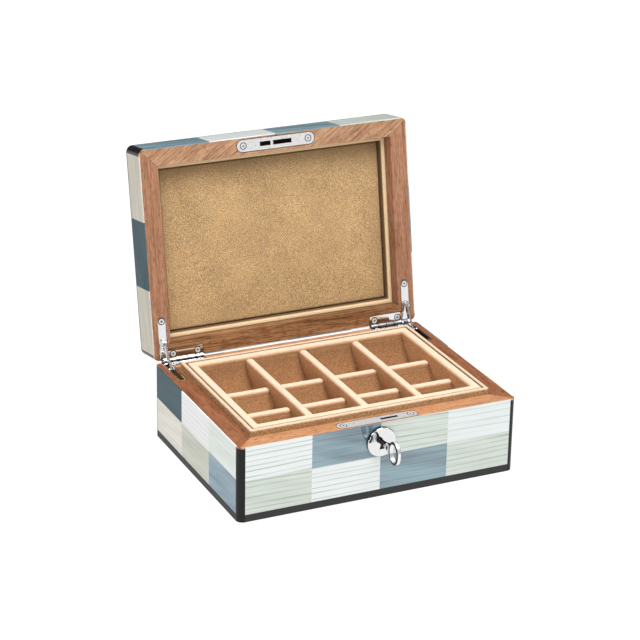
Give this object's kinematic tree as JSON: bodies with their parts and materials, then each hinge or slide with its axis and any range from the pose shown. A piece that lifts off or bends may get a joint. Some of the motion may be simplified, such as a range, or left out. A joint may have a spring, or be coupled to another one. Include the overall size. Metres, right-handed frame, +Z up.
{
  "type": "jewelry case",
  "caption": "Veneered wooden jewelry case with a hinged lid on stay hinges, a suede-lined lift-out tray of open cells, and a key lock in the front.",
  "frame": {"origin": "middle of the underside, on the surface that it stands on", "axes": "+X to the right seen from the front, +Y to the hinged back, +Z up"},
  "size_m": [0.26, 0.2895, 0.257],
  "materials": {
    "dyed_veneer": "high gloss lacquer over straight-grained dyed veneer, tiles in blue, slate, white, cream and sage",
    "mahogany": "satin, open straight grain",
    "black_lacquer": "black, high gloss",
    "core_board": "plain fibre board, hidden",
    "suede": "tan suede, short nap",
    "felt": "dark felt",
    "chrome": "polished",
    "steel": "plain"
  },
  "bodies": {
    "base": {"base_back_veneer": "dyed_veneer", "base_back_wall": "core_board", "base_bottom_board": "core_board", "base_corner_posts": "black_lacquer", "base_edge_band": "black_lacquer", "base_front_veneer": "dyed_veneer", "base_front_wall": "core_board", "base_left_veneer": "dyed_veneer", "base_left_wall": "core_board", "base_liner": "suede", "base_right_veneer": "dyed_veneer", "base_right_wall": "core_board", "base_rim": "mahogany", "escutcheon": "chrome", "floor_pad": "suede", "hinge_base_screws": "chrome", "hinge_pins": "steel", "hook_pivot_pin": "steel", "left_hinge_base_leaf": "chrome", "lock_case": "steel", "lock_faceplate": "chrome", "lock_faceplate_screws": "chrome", "right_hinge_base_leaf": "chrome", "tray_rails": "suede", "underside_felt": "felt"},
    "lid": {"hinge_lid_screws": "chrome", "left_hinge_lid_leaf": "chrome", "lid_back_veneer": "dyed_veneer", "lid_back_wall": "core_board", "lid_corner_posts": "black_lacquer", "lid_edge_stringing": "black_lacquer", "lid_front_veneer": "dyed_veneer", "lid_front_wall": "core_board", "lid_left_veneer": "dyed_veneer", "lid_left_wall": "core_board", "lid_pad": "suede", "lid_right_veneer": "dyed_veneer", "lid_right_wall": "core_board", "lid_rim": "mahogany", "lid_suede_strips": "suede", "lid_top_board": "core_board", "lid_top_veneer": "dyed_veneer", "right_hinge_lid_leaf": "chrome", "stay_pivot_pins": "chrome", "strike_plate": "chrome", "strike_screws": "chrome"},
    "tray": {"tray_back_wall": "suede", "tray_cell_slopes": "suede", "tray_cross_dividers": "suede", "tray_floor": "suede", "tray_front_wall": "suede", "tray_left_wall": "suede", "tray_long_dividers": "suede", "tray_right_wall": "suede"},
    "right_stay": {"right_stay_arm": "chrome"},
    "left_stay": {"left_stay_arm": "chrome"},
    "key": {"key": "chrome"},
    "lock_plug": {"lock_plug": "steel"},
    "hook": {"hook_bolt": "steel"}
  },
  "joints": [
    {"name": "lid_hinge", "type": "hinge", "parent": "base", "child": "lid", "pos_m": [0, 0.0956, 0.06935], "axis": [1, 0, 0], "range_deg": [0, 100]},
    {"name": "right_stay_pivot", "type": "hinge", "parent": "lid", "child": "right_stay", "pos_m": [0.11965, 0.09576, 0.08669], "axis": [1, 0, 0], "range_deg": [-158.25, 1]},
    {"name": "left_stay_pivot", "type": "hinge", "parent": "lid", "child": "left_stay", "pos_m": [-0.11965, 0.09576, 0.08669], "axis": [1, 0, 0], "range_deg": [-158.25, 1]},
    {"name": "tray_lift", "type": "slide", "parent": "base", "child": "tray", "axis": [0, 0, 1], "range_m": [0, 0.0095]},
    {"name": "key_turn", "type": "hinge", "parent": "base", "child": "lock_plug", "pos_m": [0, -0.087, 0.0524], "axis": [0, 1, 0], "range_deg": [0, 90]},
    {"name": "key_withdraw", "type": "slide", "parent": "lock_plug", "child": "key", "axis": [0, -1, 0], "range_m": [0, 0.03]},
    {"name": "hook_swing", "type": "hinge", "parent": "base", "child": "hook", "pos_m": [0.02, -0.087, 0.061], "axis": [0, 1, 0], "range_deg": [-0.5, 60.5]}
  ],
  "couplings": [
    {"joint": "right_stay_pivot", "follows": "lid_hinge", "ratio": -1.5725},
    {"joint": "left_stay_pivot", "follows": "lid_hinge", "ratio": -1.5725},
    {"joint": "hook_swing", "follows": "key_turn", "ratio": 0.66667}
  ]
}
